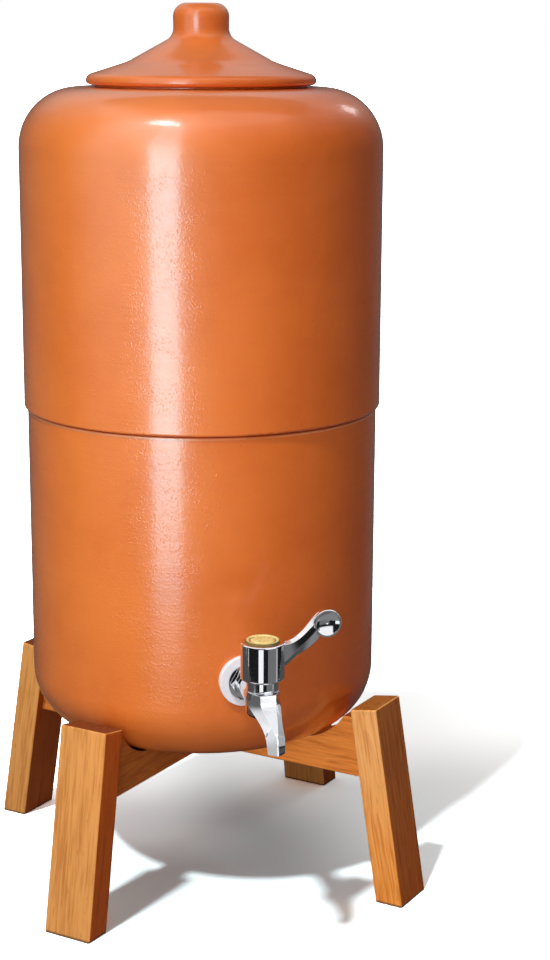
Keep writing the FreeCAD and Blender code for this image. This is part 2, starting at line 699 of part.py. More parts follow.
def tap_handle():
    """Hub cup, lever and finger pad in one piece, with a square socket."""
    hub = turned([
        (0, HUB_CAVITY_TOP_Z, 0),
        (HUB_CAVITY_RADIUS, HUB_CAVITY_TOP_Z, 0.5),
        (HUB_CAVITY_RADIUS, HUB_BOTTOM_Z, 0.3),
        (HUB_RADIUS, HUB_BOTTOM_Z, 1.3),
        (HUB_RADIUS, HUB_TOP_Z, 1.1),
        (CAP_SEAT_RADIUS, HUB_TOP_Z, 0.3),
        (CAP_SEAT_RADIUS, HUB_WEB_TOP_Z, 0),
        (0, HUB_WEB_TOP_Z, 0),
    ])
    inside = upright_cylinder(HUB_RADIUS - 1.0, HUB_BOTTOM_Z, PAD_Z + PAD_RADIUS)
    lever = handle_lever().cut(inside)
    handle = hub.fuse([lever, finger_pad()])
    socket = SPINDLE_SQUARE / 2 + GLUE_GAP / 2
    socket_height = SPINDLE_TOP_Z - HUB_CAVITY_TOP_Z
    corner = Vector(-socket, -socket, HUB_CAVITY_TOP_Z)
    handle = handle.cut(Part.makeBox(socket * 2, socket * 2, socket_height, corner))
    handle = handle.cut(upright_cylinder(SPINDLE_RADIUS + GLUE_GAP, HUB_CAVITY_TOP_Z, SPINDLE_SQUARE_Z))
    handle = handle.cut(upright_cylinder(SCREW_RADIUS + GLUE_GAP, SPINDLE_TOP_Z, HUB_WEB_TOP_Z + 1))
    return at_handle(handle.removeSplitter())


def handle_screw():
    """Pan-head screw that holds the handle down on the spindle."""
    head_top = HUB_WEB_TOP_Z + SCREW_HEAD_HEIGHT
    screw = turned([
        (0, HUB_WEB_TOP_Z - SCREW_LENGTH, 0),
        (SCREW_RADIUS, HUB_WEB_TOP_Z - SCREW_LENGTH, 0.5),
        (SCREW_RADIUS, HUB_WEB_TOP_Z, 0),
        (SCREW_HEAD_RADIUS, HUB_WEB_TOP_Z, 0),
        (SCREW_HEAD_RADIUS, head_top, 1.0),
        (0, head_top, 0),
    ])
    slot_corner = Vector(-SCREW_SLOT_LENGTH / 2, -SCREW_SLOT_WIDTH / 2, head_top - SCREW_SLOT_DEPTH)
    for angle in (0, 90):
        slot = Part.makeBox(SCREW_SLOT_LENGTH, SCREW_SLOT_WIDTH, SCREW_HEAD_HEIGHT, slot_corner)
        slot.rotate(Vector(0, 0, 0), UP, angle)
        screw = screw.cut(slot)
    return at_handle(screw)


def handle_cap():
    """Cup-shaped cap over the screw: a raised rim round a low domed boss."""
    skirt_inner = CAP_RADIUS - CAP_SKIRT
    plate_z = CAP_TOP_Z - 2.2
    floor_z = CAP_TOP_Z - 0.7
    return at_handle(turned([
        (0, plate_z, 0),
        (skirt_inner, plate_z, 0.4),
        (skirt_inner, HUB_WEB_TOP_Z, 0),
        (CAP_RADIUS, HUB_WEB_TOP_Z, 0.2),
        (CAP_RADIUS, CAP_TOP_Z, 0.6),
        (CAP_RADIUS - 1.4, CAP_TOP_Z, 0.4),
        (CAP_RADIUS - 1.9, floor_z, 0.2),
        (CAP_RADIUS * 0.74, floor_z, 0.3),
        (CAP_RADIUS * 0.62, CAP_TOP_Z, 1.5),
        (0, CAP_TOP_Z + 0.3, 0),
    ]))


def make_tap(parts):
    """The tap's fixed pieces and the pieces that turn with its handle."""
    parts["tap_body"] = tap_body()
    parts["tap_outer_washer"] = outer_washer()
    parts["tap_inner_gasket"] = inner_gasket()
    parts["tap_lock_nut"] = lock_nut()
    parts["valve_bonnet"] = valve_bonnet()
    parts["valve_spindle"] = valve_spindle()
    parts["spindle_rings"] = spindle_rings()
    parts["tap_handle"] = tap_handle()
    parts["handle_screw"] = handle_screw()
    parts["handle_cap"] = handle_cap()


# ---------------------------------------------------------------------- save

def main():
    """Builds every piece and writes one STEP file per node."""
    parts = {}
    make_stand(parts)
    parts["lower_pot"] = lower_pot()
    parts["upper_pot"] = upper_pot()
    parts["pot_lid"] = pot_lid()
    make_candles(parts)
    make_tap(parts)
    os.makedirs("parts", exist_ok=True)
    for name, shape in parts.items():
        if not shape.isValid():
            raise ValueError(name + " is not a valid solid")
        shape.exportStep("parts/" + name + ".step")
        print(name, len(shape.Solids), round(shape.Volume / 1000, 2), "cm3")


main()
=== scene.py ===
import math

import bpy
from mathutils import Matrix, Vector


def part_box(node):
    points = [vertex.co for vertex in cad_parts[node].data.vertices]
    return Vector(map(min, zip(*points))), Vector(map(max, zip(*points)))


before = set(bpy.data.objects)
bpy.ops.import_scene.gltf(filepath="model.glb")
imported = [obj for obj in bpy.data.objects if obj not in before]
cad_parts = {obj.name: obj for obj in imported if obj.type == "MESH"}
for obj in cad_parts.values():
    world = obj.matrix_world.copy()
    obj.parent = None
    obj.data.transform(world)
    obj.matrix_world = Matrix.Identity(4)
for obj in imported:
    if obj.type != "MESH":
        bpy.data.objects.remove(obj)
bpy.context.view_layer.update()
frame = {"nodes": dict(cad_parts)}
nodes = frame["nodes"]
scene = bpy.context.scene
scene.view_settings.view_transform = "Standard"

# Sizes are metres, as in the frame. SEAM_Z is where the upper pot meets the lower.
SEAM_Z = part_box("lower_pot")[1][2]
POT_TOP_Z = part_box("upper_pot")[1][2]
HIGH_TINT_Z = 0.13
LEG_SPLAY = math.radians(9.3)
LEG_PLACE = Vector((0.150, 0, 0.07))
RAIL_Z = 0.1
LEG_TURNS = {"leg_back_right": 45, "leg_back_left": 135, "leg_front_left": 225, "leg_front_right": 315}
RAIL_TURNS = {"rail_under": 45, "rail_over": 135}

# Nodes that share a light. OPEN_WOOD takes no shadow from pot and tap.
CLAY = ("lower_pot", "upper_pot", "pot_lid")
PLATED = ("tap_body", "valve_bonnet", "tap_handle", "handle_cap")
STAND = (*LEG_TURNS, *RAIL_TURNS, "stand_dowels")
OPEN_WOOD = ("leg_front_right", "rail_over")

WHITE = (1.0, 1.0, 1.0)

# ------------------------------------------------------------------ camera
# The photograph's viewing angle, worked out about the pots' axis and turned
# into the row frame by TURN.
TURN = math.radians(-12.85)
PITCH = math.radians(12.92)
YAW = math.radians(2.17)
ROLL = math.radians(0.28)
EYE = Vector((0, -1.334, 0.58139))
LENS_MM = 73.37
SENSOR_MM = 36.0


def make_camera():
    level = math.cos(PITCH)
    forward = Vector((math.sin(YAW) * level, math.cos(YAW) * level, -math.sin(PITCH)))
    right = Vector((math.cos(YAW), -math.sin(YAW), 0))
    up = right.cross(forward)
    x_axis = right * math.cos(ROLL) + up * math.sin(ROLL)
    y_axis = up * math.cos(ROLL) - right * math.sin(ROLL)
    spin = Matrix.Rotation(TURN, 3, "Z")
    columns = [spin @ x_axis, spin @ y_axis, spin @ -forward]
    rotation = Matrix(columns).transposed().to_4x4()
    data = bpy.data.cameras.new("photo_camera")
    data.lens = LENS_MM
    data.sensor_width = SENSOR_MM
    data.clip_start = 0.05
    data.clip_end = 200.0
    camera = bpy.data.objects.new("photo_camera", data)
    scene.collection.objects.link(camera)
    camera.matrix_world = Matrix.Translation(spin @ EYE) @ rotation
    scene.camera = camera


make_camera()

# ------------------------------------------------------------- node helpers


def set_inputs(node, **values):
    """Sets input sockets by name, with _ for a space."""
    for key, value in values.items():
        node.inputs[key.replace("_", " ")].default_value = value


class Nodes:
    """Short way to write the node tree of a material or of the world."""

    def __init__(self, owner):
        owner.use_nodes = True
        self.owner = owner
        self.tree = owner.node_tree
        self.tree.nodes.clear()

    def add(self, kind, **settings):
        node = self.tree.nodes.new("ShaderNode" + kind)
        for key, value in settings.items():
            setattr(node, key, value)
        return node

    def put(self, value, socket):
        """Links another socket, or sets a number or vector."""
        if isinstance(value, bpy.types.NodeSocket):
            self.tree.links.new(value, socket)
        else:
            socket.default_value = value

    def put_colour(self, value, socket):
        self.put(value if isinstance(value, bpy.types.NodeSocket) else (*value, 1), socket)

    def coordinates(self, axes=None):
        """Object coordinates, or a place in a piece's own axes."""
        out = self.add("TexCoord").outputs["Object"]
        if axes is None:
            return out
        turn = self.add("Mapping", vector_type="TEXTURE")
        set_inputs(turn, Location=axes.to_translation(), Rotation=axes.to_euler())
        self.put(out, turn.inputs["Vector"])
        return turn.outputs["Vector"]

    def scaled(self, vector, scale):
        node = self.add("Mapping")
        set_inputs(node, Scale=scale)
        self.put(vector, node.inputs["Vector"])
        return node.outputs["Vector"]

    def split(self, vector):
        node = self.add("SeparateXYZ")
        self.put(vector, node.inputs[0])
        return [node.outputs[axis] for axis in "XYZ"]

    def noise(self, vector, scale, detail, rough, distortion, seed):
        node = self.add("TexNoise", noise_dimensions="4D")
        self.put(vector, node.inputs["Vector"])
        set_inputs(node, W=seed, Scale=scale, Detail=detail, Roughness=rough, Distortion=distortion)
        return node.outputs["Fac"]

    def ramp(self, value, low, high, out_low=0.0, out_high=1.0, smooth=True):
        node = self.add("MapRange", interpolation_type="SMOOTHSTEP" if smooth else "LINEAR")
        self.put(value, node.inputs["Value"])
        set_inputs(node, From_Min=low, From_Max=high, To_Min=out_low, To_Max=out_high)
        return node.outputs["Result"]

    def between(self, value, low, high, soft):
        """1 between low and high, falling to 0 over the width soft at either end."""
        return self.times(self.ramp(value, low - soft, low), self.ramp(value, high, high + soft, 1.0, 0.0))

    def math(self, operation, a, b=0.0):
        node = self.add("Math", operation=operation)
        self.put(a, node.inputs[0])
        self.put(b, node.inputs[1])
        return node.outputs[0]

    def times(self, first, *others):
        for other in others:
            first = self.math("MULTIPLY", first, other)
        return first

    def plus(self, first, *others):
        for other in others:
            first = self.math("ADD", first, other)
        return first

    def length(self, a, b):
        return self.math("SQRT", self.plus(self.times(a, a), self.times(b, b)))

    def mix(self, factor, a, b, blend="MIX"):
        """Mixes two colours; sockets 6, 7 and 2 are the node's colour sockets."""
        node = self.add("Mix", data_type="RGBA", blend_type=blend)
        self.put(factor, node.inputs[0])
        self.put_colour(a, node.inputs[6])
        self.put_colour(b, node.inputs[7])
        return node.outputs[2]

    def bump(self, height, strength, distance, normal=None):
        node = self.add("Bump")
        set_inputs(node, Strength=strength, Distance=distance)
        self.put(height, node.inputs["Height"])
        if normal is not None:
            self.put(normal, node.inputs["Normal"])
        return node.outputs["Normal"]

    def dot(self, a, b):
        node = self.add("VectorMath", operation="DOT_PRODUCT")
        self.put(a, node.inputs[0])
        self.put(b, node.inputs[1])
        return node.outputs["Value"]

    def faces(self, direction, axis):
        """1 on faces whose normal is the axis, either way round."""
        return self.ramp(self.math("ABSOLUTE", self.dot(direction, axis)), 0.75, 0.93)

    def softened(self, radius):
        """The normal with sharp edges rounded by a radius."""
        bevel = self.add("Bevel", samples=6)
        set_inputs(bevel, Radius=radius)
        return bevel.outputs["Normal"]

    def arris(self, softened):
        """1 on sharp edges, 0 on open faces."""
        face = self.add("NewGeometry").outputs["Normal"]
        return self.ramp(self.dot(softened, face), 0.90, 0.998, 1.0, 0.0)

    def output(self, surface, kind="OutputMaterial"):
        self.put(surface, self.add(kind).inputs["Surface"])
        return self.owner

    def shader(self, colour, roughness, normal, **levels):
        node = self.add("BsdfPrincipled")
        self.put_colour(colour, node.inputs["Base Color"])
        self.put(roughness, node.inputs["Roughness"])
        self.put(normal, node.inputs["Normal"])
        self.put(normal, node.inputs["Coat Normal"])
        set_inputs(node, **levels)
        return self.output(node.outputs["BSDF"])


def new_material(name):
    return Nodes(bpy.data.materials.new(name))


def tinted(colour, red, green, blue):
    """A colour times a tint, no brighter than white."""
    return tuple(min(1.0, c * f) for c, f in zip(colour, (red, green, blue)))


def darker(colour, level):
    return tinted(colour, level, level, level)


# --------------------------------------------------------------- materials


def clay_colour(n, at, seed, mottle, strokes, fine):
    """Painted light: yellower and paler towards -X, the flank facing the lamps, redder and
    darker towards +X, the flank in shade. Mottled, wiped, with dark specks, painted shade in the joint
    between the pots and a painted highlight along the lower pot's rim under it."""
    pale = (1.05, 1.12, 1.25)
    x, _, z = n.split(at)
    # Painted light: the flank towards the lamps yellower and paler, the far flank redder and darker.
    flank_painted_light = n.mix(n.ramp(x, -0.10, 0.12), (0.825, 0.194, 0.025), (0.752, 0.127, 0.006))
    shade = n.mix(n.ramp(mottle, 0.32, 0.68), (0.93, 0.88, 0.80), pale)
    shade = n.mix(n.ramp(strokes, 0.35, 0.75, 0.0, 0.35), shade, WHITE)
    shade = n.mix(n.ramp(fine, 0.35, 0.75, 0.0, 0.20), shade, pale)
    base = n.mix(1.0, flank_painted_light, shade, "MULTIPLY")
    specks = n.noise(at, 620.0, 1.0, 0.5, 0.0, seed + 11)
    base = n.mix(n.ramp(specks, 0.73, 0.79, 0.0, 0.45), base, (0.20, 0.040, 0.012))
    # Painted shade: a dark line in the joint, where the upper pot overhangs the lower.
    joint = n.math("ABSOLUTE", n.math("SUBTRACT", z, SEAM_Z))
    base = n.mix(n.ramp(joint, 0.0003, 0.0012, 0.90, 0.0), base, (0.42, 0.022, 0.002))
    # Painted highlight: a pale line along the lower pot's rim just under the joint.
    rim_highlight = n.between(z, SEAM_Z - 0.0020, SEAM_Z - 0.0015, 0.0006)
    return n.mix(n.times(rim_highlight, n.ramp(mottle, 0.35, 0.60, 0.1, 0.7)), base, (0.95, 0.42, 0.20))


def clay_relief(n, at, seed, strokes):
    """Slow waves, wiping strokes, and ripples and patchy sand that are fainter on
    the shoulder and the lid."""
    z = n.split(at)[2]
    calm = n.ramp(z, POT_TOP_Z - 0.053, POT_TOP_Z - 0.041, 1.0, 0.45)
    ripples = n.noise(n.scaled(at, (400, 400, 640)), 1.0, 2.0, 0.55, 0.4, seed + 6)
    grains = n.ramp(n.noise(at, 820.0, 1.0, 0.5, 0.0, seed + 5), 0.52, 0.72)
    patches = n.ramp(n.noise(at, 55.0, 2.0, 0.6, 0.0, seed + 8), 0.40, 0.62, 0.45, 1.35)
    normal = n.bump(n.noise(at, 30.0, 3.0, 0.5, 0.0, seed + 1), 0.25, 0.0007)
    normal = n.bump(strokes, 0.25, 0.00035, normal)
    normal = n.bump(n.times(ripples, calm), 0.6, 0.00015, normal)
    return n.bump(n.times(grains, patches, calm), 0.8, 0.000068, normal)


def clay_material(name, seed, gloss=1.0):
    """Burnished terracotta, polished by wiping."""
    n = new_material(name)
    at = n.coordinates()
    mottle = n.noise(at, 14.0, 4.0, 0.6, 0.4, seed)
    fine = n.noise(at, 160.0, 3.0, 0.6, 0.0, seed + 3)
    strokes = n.noise(n.scaled(at, (12, 12, 210)), 1.0, 4.0, 0.62, 0.3, seed + 7)
    base = clay_colour(n, at, seed, mottle, strokes, fine)
    rough = n.ramp(n.plus(n.times(strokes, 0.6), n.times(fine, 0.4)), 0.3, 0.7, 0.36, 0.50)
    normal = clay_relief(n, at, seed, strokes)
    return n.shader(base, rough, normal, Coat_Weight=gloss, Coat_Roughness=0.12, Coat_IOR=1.6, IOR=1.5)


def wood_material(name, axes, seed, colour=(0.660, 0.262, 0.064), figure=0.15, painted_shade_axis=None, shade=WHITE,
                  low=WHITE, high=WHITE, end_grain_and_painted_light=((0.225, 0.055, 0.015), (0.160, 0.034, 0.009))):
    """Oiled hardwood sawn from a log: end grain across local X, wavy figure along
    it, painted shade on the pair of faces whose normal is the chosen axis, the
    tints low and high towards foot and top, arrises paler from wear and with a painted highlight, and
    painted contact shade at the foot. The sawn ends are end grain, with painted light and shade in their
    colours."""
    n = new_material(name)
    at = n.coordinates(axes)
    facing = n.add("TexCoord").outputs["Normal"]
    turn = axes.to_3x3()
    height = n.split(n.coordinates())[2]
    wander = n.noise(n.scaled(at, (7, 26, 26)), 1.0, 2.0, 0.5, 1.0, seed)
    wobble = n.noise(n.scaled(at, (2, 70, 70)), 1.0, 2.0, 0.5, 0.0, seed + 1)
    lines = n.math("FRACT", n.times(n.plus(wander, wobble), 9.0))
    lines = n.times(n.ramp(lines, 0.15, 0.75), n.ramp(lines, 0.86, 0.99, 1.0, 0.0))
    fibre = n.noise(n.scaled(at, (26, 520, 520)), 1.0, 3.0, 0.6, 0.0, seed + 2)
    streak = n.noise(n.scaled(at, (8, 110, 110)), 1.0, 4.0, 0.6, 0.5, seed + 4)
    flecks = n.noise(n.scaled(at, (110, 620, 620)), 1.0, 1.0, 0.5, 0.0, seed + 6)
    flecks = n.ramp(flecks, 0.66, 0.76)
    broad = n.noise(n.scaled(at, (5, 20, 20)), 1.0, 3.0, 0.5, 0.3, seed + 8)

    deeper = tinted(colour, 0.55, 0.40, 0.28)
    base = n.mix(n.ramp(broad, 0.3, 0.7), darker(colour, 0.90), tinted(colour, 1.08, 1.08, 1.08))
    base = n.mix(n.times(lines, figure), base, deeper)
    base = n.mix(n.ramp(streak, 0.42, 0.72, 0.0, 0.24), base, deeper)
    base = n.mix(n.ramp(fibre, 0.40, 0.62, 0.0, 0.42), base, tinted(colour, 1.20, 1.35, 1.6))
    base = n.mix(n.ramp(fibre, 0.36, 0.48, 0.32, 0.0), base, deeper)
    base = n.mix(n.times(flecks, 0.35), base, (0.200, 0.060, 0.014))
    # Painted shade: the faces on the chosen axis are darkened where the light falls away from them, and on
    # the rails the top and bottom faces under the pot.
    if painted_shade_axis is not None:
        base = n.mix(n.faces(facing, turn.col[painted_shade_axis]), base, shade, "MULTIPLY")
    base = n.mix(1.0, base, n.mix(n.ramp(height, 0.0, HIGH_TINT_Z), low, high), "MULTIPLY")
    # End grain, darkened further with painted shade on the tops; on the front right leg paler, as painted
    # light.
    rings = n.math("FRACT", n.times(n.plus(wander, broad), 24.0))
    base = n.mix(n.faces(facing, turn.col[0]), base, n.mix(n.ramp(rings, 0.3, 0.9), *end_grain_and_painted_light))
    softened = n.softened(0.0009)
    # Paler arrises: wear, and a painted highlight along the edges.
    patchy = n.ramp(n.noise(at, 70.0, 3.0, 0.6, 0.0, seed + 9), 0.38, 0.62, 0.15, 0.75)
    base = n.mix(n.times(n.arris(softened), patchy), base, (0.780, 0.420, 0.170))
    # Painted contact shade: the wood darkened within about 2 mm of the floor.
    base = n.mix(n.ramp(height, 0.0006, 0.0022, 0.8, 0.0), base, (0.050, 0.016, 0.006))

    rough = n.ramp(fibre, 0.3, 0.7, 0.42, 0.58)
    normal = n.bump(streak, 0.4, 0.0008, softened)
    normal = n.bump(fibre, 0.45, 0.00040, normal)
    normal = n.bump(n.math("SUBTRACT", 1.0, flecks), 0.25, 0.00020, normal)
    return n.shader(base, rough, normal, Specular_IOR_Level=0.2)


def metal_material(name, colour, roughness, seed=0.0, grain=0.0):
    """Metal with faint wipe marks in its gloss and softened edges."""
    n = new_material(name)
    at = n.coordinates()
    smudge = n.noise(at, 60.0, 4.0, 0.6, 0.5, seed)
    fine = n.noise(n.scaled(at, (300, 300, 900)), 1.0, 2.0, 0.6, 0.0, seed + 1)
    rough = n.ramp(smudge, 0.35, 0.75, roughness * 0.8, roughness * 1.7)
    tint = n.mix(n.ramp(fine, 0.3, 0.7, 0.0, 0.06), colour, darker(colour, 0.8))
    normal = n.bump(smudge, 0.06 + grain, 0.0002, n.softened(0.00045))
    return n.shader(tint, rough, normal, Metallic=1.0)


def cap_material():
    """Gold-coloured disc, darker in the groove inside its rim and round its edge."""
    n = new_material("gold_plate")
    at = n.coordinates()
    low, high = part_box("handle_cap")
    x, y, _ = n.split(at)
    radius = n.length(x, n.math("SUBTRACT", y, (low[1] + high[1]) / 2))
    cloud = n.noise(at, 500.0, 4.0, 0.6, 0.0, 3.0)
    base = n.mix(n.ramp(cloud, 0.35, 0.65), (0.84, 0.67, 0.23), (0.92, 0.82, 0.36))
    groove = n.between(radius, 0.0078, 0.0084, 0.0004)
    edge = n.ramp(radius, 0.0101, 0.0105)
    base = n.mix(n.times(n.math("MAXIMUM", groove, edge), 0.85), base, (0.16, 0.075, 0.015))
    rough = n.ramp(cloud, 0.3, 0.7, 0.25, 0.42)
    return n.shader(base, rough, n.bump(cloud, 0.35, 0.0003), Metallic=0.2)


def plain_material(name, colour, roughness, seed=0.0, grain=300.0):
    """Moulded or sintered material with a little cloud, grain and gloss change."""
    n = new_material(name)
    at = n.coordinates()
    cloud = n.noise(at, 40.0, 3.0, 0.55, 0.0, seed)
    fine = n.noise(at, grain, 2.0, 0.6, 0.0, seed + 2)
    base = n.mix(n.ramp(cloud, 0.3, 0.7, 0.0, 0.5), colour, darker(colour, 0.9))
    base = n.mix(n.ramp(fine, 0.55, 0.8, 0.0, 0.2), base, darker(colour, 0.75))
    rough = n.ramp(fine, 0.3, 0.7, roughness * 0.85, min(1.0, roughness * 1.15))
    return n.shader(base, rough, n.bump(fine, 0.2, 0.0001))


def dress(material, *names):
    for name in names:
        piece = nodes[name]
        piece.data.materials.clear()
        piece.data.materials.append(material)


def dress_pots():
    dress(clay_material("clay_lower", 1.0), "lower_pot")
    dress(clay_material("clay_upper", 5.0), "upper_pot")
    dress(clay_material("clay_lid", 9.0, 0.8), "pot_lid")


def leg_axes(turn_deg):
    """Local X up the leg, Y across its width, Z out of its broad face."""
    turn = Matrix.Rotation(math.radians(turn_deg), 3, "Z")
    along = turn @ Vector((-math.sin(LEG_SPLAY), 0, math.cos(LEG_SPLAY)))
    across = turn @ Vector((0, 1, 0))
    axes = Matrix((along, across, along.cross(across))).transposed().to_4x4()
    return Matrix.Translation(turn @ LEG_PLACE) @ axes


def rail_axes(turn_deg):
    """Local X along the rail, Z up."""
    return Matrix.Translation((0, 0, RAIL_Z)) @ Matrix.Rotation(math.radians(turn_deg), 4, "Z")


def dress_stand():
    """Each leg and rail has a tone of its own, with painted light and shade in it:
    the rail under is darkened as painted shade, and the front right leg is the palest, with sawn ends as
    pale, as painted light."""
    common, common_painted_shade = (0.720, 0.300, 0.078), (0.50, 0.24, 0.12)
    planks = {
        "leg_back_right": dict(colour=common, shade=common_painted_shade, painted_shade_axis=1),
        "leg_back_left": dict(colour=(0.760, 0.330, 0.085), shade=common_painted_shade, painted_shade_axis=2),
        "leg_front_left": dict(colour=common, shade=(0.72, 0.32, 0.10), painted_shade_axis=1),
        # Painted light: the palest colour and pale sawn ends, on the lit leg.
        "leg_front_right": dict(
            colour=(0.970, 0.385, 0.085), shade=(0.56, 0.34, 0.20), painted_shade_axis=2, figure=0.35,
            low=(1.02, 0.88, 0.72), high=(1.0, 1.10, 1.55),
            end_grain_and_painted_light=((0.46, 0.155, 0.026), (0.33, 0.10, 0.016))),
        # Painted shade: the rail under is darker, its visible face turned away from the light.
        "rail_under": dict(colour=(0.510, 0.142, 0.020), shade=(0.34, 0.22, 0.15), painted_shade_axis=2, figure=0.35),
        "rail_over": dict(colour=(0.800, 0.250, 0.043), shade=(0.34, 0.22, 0.15), painted_shade_axis=2, figure=0.35),
    }
    for i, (leg, turn) in enumerate(LEG_TURNS.items()):
        dress(wood_material("wood_" + leg, leg_axes(turn), 10.0 * i, **planks[leg]), leg)
    for i, (rail, turn) in enumerate(RAIL_TURNS.items()):
        dress(wood_material("wood_" + rail, rail_axes(turn), 50.0 + 10 * i, **planks[rail]), rail)
    dowel_axes = Matrix.Rotation(math.radians(45), 4, "Z")
    dress(wood_material("wood_dowels", dowel_axes, 80.0), "stand_dowels")


def dress_tap():
    chrome = metal_material("chrome_plate", (0.86, 0.87, 0.90), 0.045)
    dress(chrome, "tap_body", "valve_bonnet", "tap_handle")
    dress(cap_material(), "handle_cap")
    dress(plain_material("washer_white", (0.90, 0.88, 0.92), 0.28), "tap_outer_washer")
    dress(plain_material("rubber_black", (0.02, 0.02, 0.02), 0.6), "tap_inner_gasket", "spindle_rings")
    dress(metal_material("brass_machined", (0.75, 0.52, 0.22), 0.2, 6.0, 0.2), "valve_spindle")
    dress(metal_material("steel_zinc", (0.55, 0.55, 0.55), 0.3, 8.0, 0.2), "handle_screw")


def dress_candles():
    """The filter candles, and the tap's lock nut, which is of the same plastic."""
    plastic = plain_material("plastic_white", (0.75, 0.75, 0.72), 0.4)
    rubber = plain_material("rubber_red", (0.35, 0.03, 0.02), 0.6)
    ceramic = plain_material("candle_ceramic", (0.82, 0.80, 0.74), 0.85, 4.0, 900.0)
    dress(plastic, "tap_lock_nut")
    for side in ("_left", "_right"):
        dress(plastic, "candle_base" + side, "candle_wing_nut" + side)
        dress(rubber, "candle_washer" + side)
        dress(ceramic, "candle_dome" + side)


dress_pots()
dress_stand()
dress_tap()
dress_candles()

# ------------------------------------------------------------------- floor
FLOOR_HALF = 40.0


def sheet_mesh(name, corners):
    mesh = bpy.data.meshes.new(name)
    mesh.from_pydata([tuple(corner) for corner in corners], [], [tuple(range(len(corners)))])
    return mesh


def rectangle(name, x0, x1, y0, y1, z):
    return sheet_mesh(name, [(x0, y0, z), (x1, y0, z), (x1, y1, z), (x0, y1, z)])


def add_stage(mesh, material):
    """A piece of the studio, named after its mesh."""
    piece = bpy.data.objects.new(mesh.name, mesh)
    scene.collection.objects.link(piece)
    mesh.materials.append(material)
    return piece


def background_level(n):
    """1 where the camera, gloss or glass looks, 0 for the light on the object."""
    path = n.add("LightPath")
    seen = n.math("MAXIMUM", path.outputs["Is Camera Ray"], path.outputs["Is Glossy Ray"])
    return n.math("MAXIMUM", seen, path.outputs["Is Transmission Ray"])


def from_line(n, x, y, start, end):
    """How far a point of the floor lies from the line between two others."""
    dx, dy = end[0] - start[0], end[1] - start[1]
    from_x, from_y = n.math("SUBTRACT", x, start[0]), n.math("SUBTRACT", y, start[1])
    along = n.times(n.plus(n.times(from_x, dx), n.times(from_y, dy)), 1.0 / (dx * dx + dy * dy))
    along = n.math("MINIMUM", n.math("MAXIMUM", along, 0.0), 1.0)
    off_x = n.math("SUBTRACT", from_x, n.times(along, dx))
    off_y = n.math("SUBTRACT", from_y, n.times(along, dy))
    return n.length(off_x, off_y)


def add_floor():
    """Pale paper, seen at a level that paints its shadow: deepest under the object and paling
    away from it, with a blue tint near the middle against the orange light that the pots throw on it. It is
    a plain grey for the light that it throws back on the object."""
    n = new_material("floor_paper")
    x, y, _ = n.split(n.coordinates())
    # Painted shadow: the seen level is lowest along the line under the object and rises away from it, to the
    # left and to the back, which sets how deep the shadow looks.
    painted_shadow_under = n.ramp(from_line(n, x, y, (-0.004, 0.009), (-0.017, -0.122)), 0.045, 0.150, 1.70, 2.85)
    left = n.times(n.ramp(x, -0.025, 0.055, 1.50, 0.0), n.ramp(y, -0.04, 0.04))
    back = n.plus(n.ramp(y, 0.07, 0.20, 0.0, 0.84), n.ramp(x, 0.20, 0.32, 0.0, 0.55))
    level = n.plus(painted_shadow_under, left, back)
    # Painted light: a blue tint near the middle that cancels the orange light the pots throw on the floor.
    from_middle = from_line(n, x, y, (-0.040, -0.050), (-0.041, -0.051))
    tint = n.mix(n.ramp(from_middle, 0.02, 0.36), (0.83, 1.0, 1.05), (0.945, 1.0, 1.005))
    seen = n.mix(1.0, tint, level, "MULTIPLY")
    diffuse = n.add("BsdfDiffuse")
    n.put(n.mix(background_level(n), (0.45, 0.45, 0.45), seen), diffuse.inputs["Color"])
    paper = n.output(diffuse.outputs[0])
    mesh = rectangle("studio_floor", -FLOOR_HALF, FLOOR_HALF, -FLOOR_HALF, FLOOR_HALF, 0)
    add_stage(mesh, paper)


# -------------------------------------------------------------- reflectors
# Cards and cloth that only gloss sees. The walls stand one just inside the
# other. A clear one adds its light to what lies behind it.
WALL_RADIUS = 0.62
TAP_WALL_RADIUS = 0.615
SPOUT_RADIUS = 0.61
BAND_RADIUS = 0.60
WALL_TOP_Z = 1.25
ROOF_Z = 1.5
ROOF_LEFT, ROOF_RIGHT, ROOF_FRONT = -0.55, 0.90, -0.18


def direction(azimuth, elevation):
    """Unit vector; azimuth 0 is the way the tap points and grows towards +X."""
    a, e = math.radians(azimuth), math.radians(elevation)
    return Vector((math.sin(a) * math.cos(e), -math.cos(a) * math.cos(e), math.sin(e)))


def node_group(name, names):
    group = bpy.data.collections.new(name)
    for node in names:
        group.objects.link(nodes[node])
    return group


def lights_only(piece, names):
    """Keeps a lamp or a clear reflector to the named nodes."""
    piece.light_linking.receiver_collection = node_group(piece.name + "_receivers", names)


def glow_material(name, level_of, colour=WHITE, clear=False):
    """Emission whose level is worked out from the piece's own coordinates."""
    n = new_material(name)
    glow = n.add("Emission")
    n.put_colour(colour, glow.inputs["Color"])
    n.put(level_of(n, *n.split(n.coordinates())), glow.inputs["Strength"])
    if not clear:
        return n.output(glow.outputs[0])
    both = n.add("AddShader")
    n.put(glow.outputs[0], both.inputs[0])
    n.put(n.add("BsdfTransparent").outputs[0], both.inputs[1])
    return n.output(both.outputs[0])


def add_reflector(mesh, material, names=()):
    """A reflector or flag that only gloss sees, on the named nodes or on all."""
    piece = add_stage(mesh, material)
    piece.visible_camera = False
    piece.visible_diffuse = False
    piece.visible_shadow = False
    piece.visible_transmission = False
    if names:
        lights_only(piece, names)


